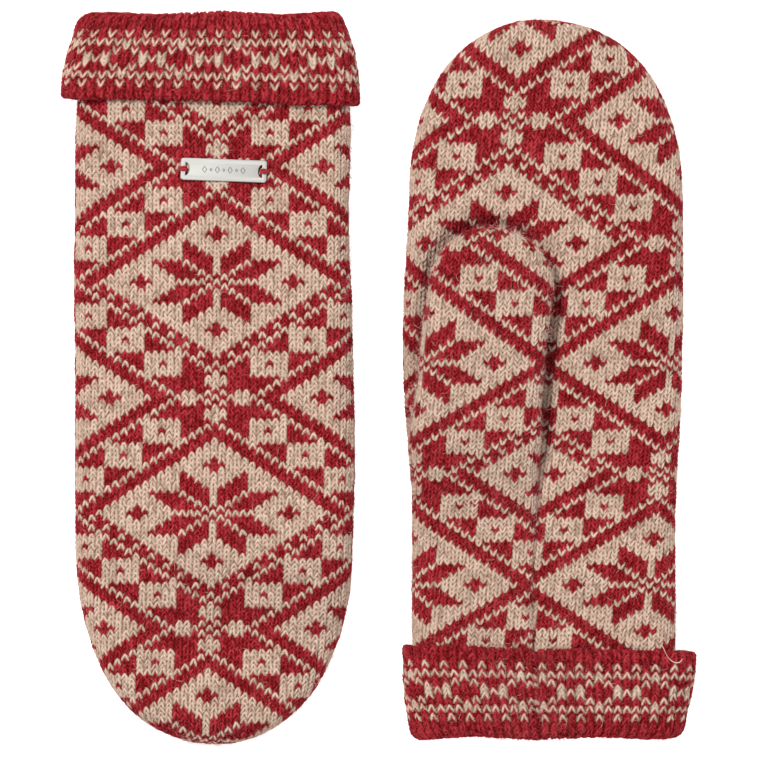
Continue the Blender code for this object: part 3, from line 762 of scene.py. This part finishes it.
def spun_yarn(name, colour, dark):
    """Plied sewing yarn, streaked along its strands."""
    material, tree, shader = new_material(name)
    where = tree.nodes.new("ShaderNodeTexCoord").outputs["Object"]
    streak = noise(tree, where, 2600.0, 3.0, 0.7)
    tree.links.new(mix(tree, scaled(tree, streak, 0.40, 0.62), dark, colour), shader.inputs["Base Color"])
    bumped(tree, shader, streak, 0.6, 0.0002)
    set_inputs(shader, {"Roughness": 0.85, "Sheen Weight": 0.1})
    return material


def satin_metal(name):
    """Bead-blasted steel with fine brushing along the plate."""
    material, tree, shader = new_material(name)
    where = tree.nodes.new("ShaderNodeTexCoord").outputs["Object"]
    stretch = node(tree, "ShaderNodeMapping", Scale=(120.0, 4200.0, 900.0))
    tree.links.new(where, stretch.inputs["Vector"])
    grain = noise(tree, stretch.outputs["Vector"], 1.0, 2.0, 0.6)
    tree.links.new(mix(tree, grain, STEEL, tuple(1.1 * c for c in STEEL)), shader.inputs["Base Color"])
    tree.links.new(scaled(tree, grain, 0.3, 0.7, 0.60, 0.68), shader.inputs["Roughness"])
    shader.inputs["Metallic"].default_value = 1.0
    return material


# ---- where the knitting lies


def seam_x(y):
    return curve_through(PALM_SEAM, y)


def back_knitting(mitten, y):
    """The x of the middle column, and the row, at y on the back of the hand."""
    share = np.clip((y - BACK_LEAN_FROM) / (mitten.length - BACK_LEAN_FROM), 0, 1)
    return BACK_MIDDLE + BACK_LEAN * share**1.6, (y - BACK_STAR) / ROW


def palm_knitting(y, thumb_side=False):
    """The x of a middle column, and the row, at y on the palm, or on the gusset and the thumb."""
    row = np.interp(y, [p[0] for p in PALM_ROWS], [p[1] for p in PALM_ROWS])
    if thumb_side:
        return THUMB_COLUMN + THUMB_COLUMN_LEAN * (y - THUMB_COLUMN_Y), row
    return PALM_COLUMN + PALM_COLUMN_LEAN * (y - PALM_COLUMN_Y), row


# ---- the hand


def quarter_arc(radius, height):
    return math.pi / 2 * np.sqrt((radius**2 + height**2) / 2)


def rounded_rows(start, end, tip, thick, step):
    """Rows from start to end, evenly spaced along the fabric, which bends over the last tip metres."""
    bend = end - tip
    flat = np.linspace(start, bend, int((bend - start) / step))
    quarter = quarter_arc(tip, thick / 2)
    turns = np.linspace(0, math.pi / 2, int(quarter / step))[1:]
    turns[-1] *= 0.985
    y = np.concatenate([flat, bend + tip * np.sin(turns)])
    fabric = np.concatenate([flat, bend + quarter * turns / (math.pi / 2)])
    return y[:, None], fabric[:, None]


def arched_section(left, right, bases, radii, top, columns):
    """A grid across a low arch: x, z and the place across the fabric, which equals x on its flat part."""
    base_left, base_right = bases
    width = right - left
    radius_left, radius_right = (np.minimum(r, width / 2) for r in radii)
    rise_left, rise_right = top - base_left, top - base_right
    arc_left = quarter_arc(radius_left, rise_left)
    arc_right = quarter_arc(radius_right, rise_right)
    flat = width - radius_left - radius_right
    total = arc_left + flat + arc_right
    along = np.linspace(0, 1, columns)[None, :] * total
    turn_left = np.clip(along / arc_left, 0, 1) * math.pi / 2
    turn_right = np.clip((total - along) / arc_right, 0, 1) * math.pi / 2
    on_left, on_right = along < arc_left, along > arc_left + flat
    x = left + radius_left + along - arc_left
    x = np.where(on_left, left + radius_left * (1 - np.cos(turn_left)), x)
    x = np.where(on_right, right - radius_right * (1 - np.cos(turn_right)), x)
    z = np.where(on_left, base_left + rise_left * np.sin(turn_left), top)
    z = np.where(on_right, base_right + rise_right * np.sin(turn_right), z)
    return x, z, left + radius_left - arc_left + along


def hand_half(mitten, side, fine):
    """The smooth grid of the hand's back (side -1) or palm (side 1), its places across, and its rows."""
    y, fabric = rounded_rows(HAND_START, mitten.length, TIP_ROUND, HAND_THICK, ROW / (fine * MESH_ROWS))
    left, right = mitten.edges(y)
    middle, half = mitten.middle(y), mitten.half_thickness(y)
    columns = int(HAND_AROUND / STITCH * fine)
    radius = np.full_like(y, EDGE_ROUND)
    x, z, across = arched_section(left, right, (0.0, 0.0), (radius, radius), half, columns)
    points = np.stack([x, np.broadcast_to(y, x.shape), middle + side * z], -1)
    return points, across, fabric


def make_panel(mitten, part, points, side, k, row, finish, over_thumb=False):
    """A closed piece of the hand's knitting, whose stitches face along z times side, and its face."""
    outward = np.array([0.0, 0.0, side])
    face = dressed(points, outward, k, row, body_chart, loose=slack(points))
    name, thickness = f"{mitten.name}_{part}_knit", THUMB_FABRIC if over_thumb else FABRIC
    return walled(name, mitten, points, outward, face, thickness, finish, over_thumb), (face, outward)


def make_back(mitten, finish, fine):
    points, across, fabric = hand_half(mitten, -1.0, fine)
    middle, row = back_knitting(mitten, fabric)
    return make_panel(mitten, "back", points, -1.0, (across - middle) / STITCH, row, finish)


def make_palm(mitten, finish, fine):
    """The palm. On the thumb's side of the seam it lies under the gusset."""
    points, across, fabric = hand_half(mitten, 1.0, fine)
    y = points[..., 1]
    beside = across - seam_x(y)
    low = 1 - smoothstep(y, UNDER_THUMB, CROTCH_Y)
    roll = SEAM_DEPTH * (1 - smoothstep(beside, 0.0, SEAM_SIDE)) * low
    sink = UNDER_GUSSET * (1 - smoothstep(beside, -UNDER_GUSSET_SIDE, 0.0)) * low
    dent = THUMB_DENT * smoothstep(y, *CROTCH_BLEND)
    sink = sink + dent * np.exp(-((beyond_thumb(mitten, points) / THUMB_DENT_WIDTH) ** 2))
    points = points - surface_normals(points, np.array([0.0, 0.0, 1.0])) * (roll + sink)[..., None]
    middle, row = palm_knitting(fabric)
    return make_panel(mitten, "palm", points, 1.0, (across - middle) / STITCH, row - HALF, finish)


def thumb_edges(mitten, y):
    left, right = sides_at(THUMB_SIDES, y)
    hand_left, _ = mitten.edges(y)
    left = hand_left + (left - hand_left) * smoothstep(y, *THUMB_LEAVES_HAND)
    right = seam_x(y) + (right - seam_x(y)) * smoothstep(y, *THUMB_LEAVES_SEAM)
    start = THUMB_SIDES[-1][0]
    share = np.clip((y - start) / (THUMB_END - start), 0, 1)
    keep = np.clip(1 - share**THUMB_TIP_POWER, 0, 1) ** (1 / THUMB_TIP_POWER)
    middle, half = (left + right) / 2, (right - left) / 2 * keep
    return middle - half, middle + half


def beyond_thumb(mitten, points):
    """Roughly how far each point lies outside the thumb's outline, 0 under the thumb."""
    x, y = points[..., 0], points[..., 1]
    start = THUMB_SIDES[-1][0]
    left, right = thumb_edges(mitten, np.minimum(y, start))
    across = np.abs(x - (left + right) / 2)
    half = (right - left) / 2
    past = np.clip((y - start) / (THUMB_END - start), 0, None)
    round_tip = ((across / half) ** THUMB_TIP_POWER + past**THUMB_TIP_POWER) ** (1 / THUMB_TIP_POWER)
    return np.clip((round_tip - 1) * half, 0, None)


def thumb_half_thickness(y):
    into_tip = np.clip((y - THUMB_END + THUMB_THICK / 2) / (THUMB_THICK / 2), 0, 1)
    return THUMB_THICK / 2 * np.sqrt(np.clip(1 - into_tip**2, 0, 1))


def thumb_rows(start, fine):
    return rounded_rows(start, THUMB_END, THUMB_THICK / 2, THUMB_THICK, ROW / (fine * MESH_ROWS))


def make_thumb_panel(mitten, part, rows, bases, radii, height, side, finish, fine):
    """A face of the thumb: an arch between its bases' z, of this height in the middle."""
    y, fabric = rows
    columns = int(THUMB_AROUND / STITCH * fine)
    x, z, across = arched_section(*thumb_edges(mitten, y), bases, radii, height, columns)
    points = np.stack([x, np.broadcast_to(y, x.shape), z], -1)
    middle, row = palm_knitting(fabric, thumb_side=True)
    k = (across - middle) / STITCH - HALF
    return make_panel(mitten, part, points, side, k, row - HALF, finish, over_thumb=True)


def make_thumb_top(mitten, finish, fine):
    """The gusset from the wrist up, which rises off the palm into the front of the thumb."""
    rows = thumb_rows(HAND_START, fine)
    y = rows[0]
    hand_middle = mitten.middle(y)
    hand_top = hand_middle + mitten.half_thickness(y)
    rise = smoothstep(y, *GUSSET_RISE)
    rise_left = smoothstep(y, *GUSSET_RISE_OUTSIDE)
    rise_right = smoothstep(y, *GUSSET_RISE_AT_SEAM)
    top = hand_top + (THUMB_MIDDLE + thumb_half_thickness(y) - hand_top) * rise
    base_left = hand_middle + (THUMB_MIDDLE - hand_middle) * rise_left
    base_right = hand_top - SEAM_DEPTH + (THUMB_MIDDLE - hand_top + SEAM_DEPTH) * rise_right
    radius_left = EDGE_ROUND + (THUMB_THICK / 2 - EDGE_ROUND) * rise_left
    radius_right = SEAM_ROLL + (THUMB_THICK / 2 - SEAM_ROLL) * rise_right
    bases, radii = (base_left, base_right), (radius_left, radius_right)
    return make_thumb_panel(mitten, "thumb_front", rows, bases, radii, top, 1.0, finish, fine)


def make_thumb_under(mitten, finish, fine):
    """The back of the thumb, which lies on the palm."""
    rows = thumb_rows(THUMB_UNDER_START, fine)
    y = rows[0]
    inside = 1 - smoothstep(y, THUMB_UNDER_START, CROTCH_Y)
    bases = (THUMB_MIDDLE - THUMB_ROOT_SIDES * inside,) * 2
    radii = (np.full_like(y, THUMB_THICK / 2),) * 2
    bottom = THUMB_MIDDLE - thumb_half_thickness(y) - THUMB_ROOT_MIDDLE * inside
    return make_thumb_panel(mitten, "thumb_back", rows, bases, radii, bottom, -1.0, finish, fine)


# ---- the cuff


def cuff_profile(mitten, step):
    """The cuff's fabric from inside its turned-up edge, over its outside, and round the fold into the hand.

    Gives each mesh row's y, its inset from the cuff's outline, and its distance along the fabric.
    """
    through = CUFF_WALL + CUFF_GAP + HAND_WALL
    edge, length = CUFF_WALL / 2, mitten.cuff_length
    turns = np.linspace(-math.pi / 2, math.pi / 2, 9)
    y = [length - edge + edge * math.cos(a) for a in turns]
    inset = [edge - edge * math.sin(a) for a in turns]
    outside = np.linspace(length - edge, FOLD_REACH, int((length - edge - FOLD_REACH) / step))[1:-1]
    y += list(outside)
    inset += [0.0] * len(outside)
    around = 2 * quarter_arc(FOLD_REACH, through / 2)
    turns = np.linspace(0, math.pi, int(around / step))
    y += [FOLD_REACH - FOLD_REACH * math.sin(a) for a in turns]
    inset += [through / 2 - through / 2 * math.cos(a) for a in turns]
    inside = np.linspace(FOLD_REACH, LIP_LENGTH, int((LIP_LENGTH - FOLD_REACH) / (2 * step)))[1:]
    y += list(inside)
    inset += [through] * len(inside)
    y, inset = np.array(y), np.array(inset)
    along = np.concatenate([[0], np.cumsum(np.hypot(np.diff(y), np.diff(inset)))])
    return y[:, None], inset[:, None], along[:, None]


def make_cuff(mitten, finish, fine):
    """The turned-up cuff, a closed band whose columns start and end at the palm seam."""
    row_height = mitten.cuff_length / CUFF_ROWS
    y, inset, along = cuff_profile(mitten, row_height / (fine * MESH_ROWS))
    share = 1 - (1 - np.clip(y / mitten.cuff_length, 0, 1)) ** CUFF_FLARE
    left = mitten.cuff_fold[0] + (mitten.cuff_edge[0] - mitten.cuff_fold[0]) * share + inset
    right = mitten.cuff_fold[1] + (mitten.cuff_edge[1] - mitten.cuff_fold[1]) * share - inset
    half = CUFF_THICK / 2 - inset
    flat = right - left - 2 * half
    arc = math.pi * half
    total = 2 * (flat + arc)
    seam = seam_x(y)
    columns = int(CUFF_COLUMNS * fine)
    place = np.arange(columns)[None, :] / columns
    walked = (place * total + (seam - left - half)) % total
    on_right = np.clip((walked - flat) / arc, 0, 1) * math.pi
    on_left = np.clip((walked - 2 * flat - arc) / arc, 0, 1) * math.pi
    x = left + half + walked
    x = np.where(walked > flat, right - half + half * np.sin(on_right), x)
    x = np.where(walked > flat + arc, right - half - (walked - flat - arc), x)
    x = np.where(walked > 2 * flat + arc, left + half - half * np.sin(on_left), x)
    z = np.where(walked > flat, half * np.cos(on_right), half)
    z = np.where(walked > flat + arc, -half, z)
    z = np.where(walked > 2 * flat + arc, -half * np.cos(on_left), z)
    groove = np.minimum(place, 1 - place) * total
    z = z - SEAM_DEPTH * (1 - smoothstep(groove, 0.0, CUFF_GROOVE)) * np.sign(z)
    slant_left, slant_right = mitten.cuff_slant
    slant = slant_left + (slant_right - slant_left) * (x / CUFF_ACROSS + 0.5)
    turned_up = np.clip(y / mitten.cuff_length, 0, 1) * (inset < CUFF_WALL + CUFF_GAP)
    pull = SEAM_PULL * np.exp(-((groove / SEAM_PULL_REACH) ** 2))
    points = np.stack([x, y + (slant - pull) * turned_up, mitten.wrist_z + z], -1)
    k = place * CUFF_AROUND + mitten.cuff_shift
    row = along / row_height - CUFF_EDGE_ROWS
    outward = np.stack([x - (left + right) / 2, np.zeros_like(x), z], -1)
    face, attributes = dressed(
        points,
        outward,
        k,
        row,
        cuff_chart,
        size=(total.mean() / CUFF_AROUND, row_height),
        leg=CUFF_LEG,
        closed=True,
        amount=CUFF_RELIEF,
        loose=CUFF_SLACK * slack(points),
    )
    rows = face.shape[0]
    faces = quads(rows, columns, closed=True)
    last = (rows - 1) * columns
    close = quads(2, columns, closed=True)
    close = np.where(close >= columns, close - columns, close + last)
    placed = mitten.place(face.reshape(-1, 3))
    faces = np.concatenate([faces, close])
    name = mitten.name + "_cuff_knit"
    piece = mesh_object(name, placed, faces, NO_TRIANGLES, attributes, finish, mitten.palm_up)
    return piece, ((face, attributes), outward)


# ---- the label


def label_frame():
    """The plate's own axes on the back of the right-hand mitten: x along the plate, z out of the fabric."""
    x, y = PLATE_CENTRE
    aside = 0.006
    steps = ((0, 0), (aside, 0), (-aside, 0), (0, aside), (0, -aside))
    middle, west, east, near, far = (Vector(RIGHT.place(np.array((x + u, y + v, 0.0)))) for u, v in steps)
    along = (east - west).normalized()
    up = along.cross(far - near).normalized()
    axes = Matrix((along, up.cross(along), up)).transposed().to_4x4()
    return Matrix.Translation(middle + up * PLATE_CLEAR) @ axes @ Matrix.Rotation(PLATE_TURN, 4, "Z")


def make_plate(metal):
    """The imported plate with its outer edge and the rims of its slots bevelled."""
    mesh = bpy.data.objects["label_plate"].data.copy()
    bm = bmesh.new()
    bm.from_mesh(mesh)
    bmesh.ops.remove_doubles(bm, verts=bm.verts, dist=1e-6)
    bmesh.ops.dissolve_limit(bm, angle_limit=math.radians(1), verts=bm.verts, edges=bm.edges)
    sharp = [e for e in bm.edges if len(e.link_faces) == 2 and e.calc_face_angle() > math.radians(60)]
    bmesh.ops.bevel(bm, geom=sharp, offset=PLATE_BEVEL, segments=3, profile=0.5, affect="EDGES")
    bm.to_mesh(mesh)
    bm.free()
    mesh.materials.clear()
    mesh.materials.append(metal)
    mesh.shade_smooth()
    mesh.set_sharp_from_angle(angle=math.radians(35))
    return linked("label_plate_bevelled", mesh)


def make_ornament(dark):
    """A row of small lozenge outlines, large and small by turns, along the middle of the plate."""
    bm = bmesh.new()
    for i in range(ORNAMENT_COUNT):
        x = ORNAMENT_STEP * (i - (ORNAMENT_COUNT - 1) / 2)
        high = ORNAMENT_HEIGHT / 2 * (1.0 if i % 2 == 0 else 0.55)
        wide = high * 0.72
        rings = []
        for shrink, z in ((0, -1), (0, 1), (1, 1), (1, -1)):
            a, b = wide - shrink * ORNAMENT_LINE, high - shrink * ORNAMENT_LINE
            corners = ((a, 0), (0, b), (-a, 0), (0, -b))
            rings.append([bm.verts.new((x + u, v, z * ORNAMENT_RISE)) for u, v in corners])
        for i in range(16):
            near, far, k = rings[i // 4], rings[(i // 4 + 1) % 4], i % 4
            bm.faces.new((near[k], near[(k + 1) % 4], far[(k + 1) % 4], far[k]))
    bmesh.ops.recalc_face_normals(bm, faces=bm.faces)
    bm.transform(label_frame() @ Matrix.Translation((0, 0, PLATE_THICK)))
    return built(bm, "label_ornament", dark, smooth=False)


def tube(bm, path, radius, sides=10):
    """A tube of one radius along a list of points, closed at its ends."""
    rings = []
    for i, point in enumerate(path):
        ahead = (path[min(i + 1, len(path) - 1)] - path[max(i - 1, 0)]).normalized()
        across = Vector((0, 1, 0))
        up = ahead.cross(across).normalized()
        ring = []
        for k in range(sides):
            angle = 2 * math.pi * k / sides
            ring.append(bm.verts.new(point + radius * (math.cos(angle) * across + math.sin(angle) * up)))
        rings.append(ring)
    for near, far in zip(rings, rings[1:]):
        for k in range(sides):
            n = (k + 1) % sides
            bm.faces.new((near[k], near[n], far[n], far[k]))
    bm.faces.new(list(reversed(rings[0])))
    bm.faces.new(rings[-1])


def make_thread(name, end, yarn):
    """Three strands of yarn up through a slot, over the plate's end bar and down into the fabric."""
    bm = bmesh.new()
    inner = PLATE_LENGTH / 2 - SLOT_BAR - STRAND_INSIDE
    outer = PLATE_LENGTH / 2 + STRAND_OUTSIDE
    low, top = -STRAND_BURIED, PLATE_THICK + STRAND_RADIUS * 0.75
    for strand in range(3):
        y = (strand - 1) * STRAND_RADIUS * 1.55
        path = []
        for i in range(17):
            turn = math.pi * i / 16
            x = (inner + outer) / 2 - (outer - inner) / 2 * math.cos(turn) * (1 + 0.10 * math.sin(turn))
            z = low + (top - low) * min(1.0, math.sin(turn) * 1.35) ** 0.6
            twist = 0.00012 * math.sin(3 * turn + 2.1 * strand)
            path.append(Vector((end * x, y + twist, z)))
        tube(bm, path, STRAND_RADIUS)
    bmesh.ops.recalc_face_normals(bm, faces=bm.faces)
    bm.transform(label_frame())
    return built(bm, name, yarn)


def make_stray_fibre(finish):
    """One long loose fibre that curls over the left-hand mitten's cuff."""
    bm = bmesh.new()
    tube(bm, [Vector(LEFT.place(np.array(spot))) for spot in FIBRE_PATH], FIBRE_RADIUS, sides=6)
    bmesh.ops.recalc_face_normals(bm, faces=bm.faces)
    fibre = built(bm, "left_stray_fibre", finish)
    smooth = fibre.modifiers.new("smooth", "SUBSURF")
    smooth.levels = smooth.render_levels = 2
    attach(fibre, LEFT.body)


def make_label():
    plate = make_plate(satin_metal("satin_steel"))
    ornament = make_ornament(plain("dark_steel", STEEL_DARK, 0.6))
    yarn = spun_yarn("label_yarn", LABEL_RED, LABEL_RED_DEEP)
    west = make_thread("label_yarn_west", -1, yarn)
    east = make_thread("label_yarn_east", 1, yarn)
    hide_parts("label_plate")
    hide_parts("label_thread_west")
    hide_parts("label_thread_east")
    for piece in (plate, ornament, west, east):
        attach(piece, RIGHT.body)


# ---- putting it together


def make_mitten(mitten, finish, hair_finishes):
    up, under = (PLAIN, FINE) if mitten.palm_up else (FINE, PLAIN)
    back, back_face = make_back(mitten, finish, up)
    palm, palm_face = make_palm(mitten, finish, under)
    front, front_face = make_thumb_top(mitten, finish, under)
    behind, behind_face = make_thumb_under(mitten, finish, PLAIN)
    cuff, cuff_face = make_cuff(mitten, finish, CUFF_FINE)
    name = mitten.name
    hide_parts(name + "_hand_back")
    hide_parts(name + "_hand_palm")
    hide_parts(name + "_thumb_gusset")
    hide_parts(name + "_thumb")
    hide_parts(name + "_cuff")
    hand_faces = ((*back_face, 0.38), (*palm_face, 0.37), (*cuff_face, 0.25))
    thumb_faces = ((*front_face, 0.7), (*behind_face, 0.3))
    hand_hairs = brushed(mitten, name + "_hand", hand_faces, HAND_HAIRS, 21, hair_finishes)
    thumb_hairs = brushed(mitten, name + "_thumb", thumb_faces, THUMB_HAIRS, 22, hair_finishes, True)
    for piece in (back, palm, cuff, *hand_hairs):
        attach(piece, mitten.body)
    x, y = THUMB_AXIS
    start, end = (mitten.place(np.array([x, y + step, HAND_THICK]), True) for step in THUMB_BLEND)
    for piece in (front, behind, *thumb_hairs):
        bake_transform(piece)


def make_floor():
    bpy.ops.mesh.primitive_plane_add(size=6, location=(0, 0, 0))
    floor = bpy.context.object
    floor.name = "floor"
    material, _, shader = new_material("floor_white")
    set_inputs(shader, {"Base Color": (0.93, 0.93, 0.93, 1), "Roughness": 0.9})
    set_inputs(shader, {"Emission Color": (1, 1, 1, 1), "Emission Strength": 0.8})
    floor.data.materials.append(material)


def make_light(name, place, size, power):
    """A round soft light aimed at the origin."""
    light = bpy.data.lights.new(name, "AREA")
    light.shape = "DISK"
    light.size = size
    light.energy = power
    obj = linked(name, light)
    obj.location = place
    obj.rotation_euler = (-Vector(place)).to_track_quat("-Z", "Y").to_euler()


def make_studio():
    scene = bpy.context.scene
    scene.view_settings.view_transform = "Standard"
    world = bpy.data.worlds.new("studio")
    world.use_nodes = True
    set_inputs(world.node_tree.nodes["Background"], {"Color": (1, 1, 1, 1), "Strength": 0.45})
    scene.world = world
    make_light("key", place=(-0.9, 1.1, 2.4), size=0.75, power=57)
    make_light("fill", place=(0.6, -0.5, 1.6), size=1.2, power=7)
    camera = bpy.data.cameras.new("camera")
    camera.sensor_width = SENSOR
    camera.lens = SENSOR * CAMERA_HEIGHT / VIEW_WIDTH
    camera.clip_end = 50
    scene.camera = linked("camera", camera)
    scene.camera.location = (0, 0, CAMERA_HEIGHT)


def main():
    make_floor()
    make_studio()
    finish = wool("patterned_wool")
    hair_finishes = (plain("red_hair", RED_HAIR_AND_HIGHLIGHT, 0.9, 0.2), plain("beige_hair", BEIGE_HAIR_AND_HIGHLIGHT, 0.9, 0.2))
    make_mitten(RIGHT, finish, hair_finishes)
    make_mitten(LEFT, finish, hair_finishes)
    make_label()
    make_stray_fibre(hair_finishes[1])
    seam = spun_yarn("seam_yarn", RED, RED_SHADE_AND_DARK_TONE)
    for name in ("right_palm_seam", "right_thumb_seam", "left_palm_seam", "left_thumb_seam"):
        materials = bpy.data.objects[name].data.materials
        materials.clear()
        materials.append(seam)


main()
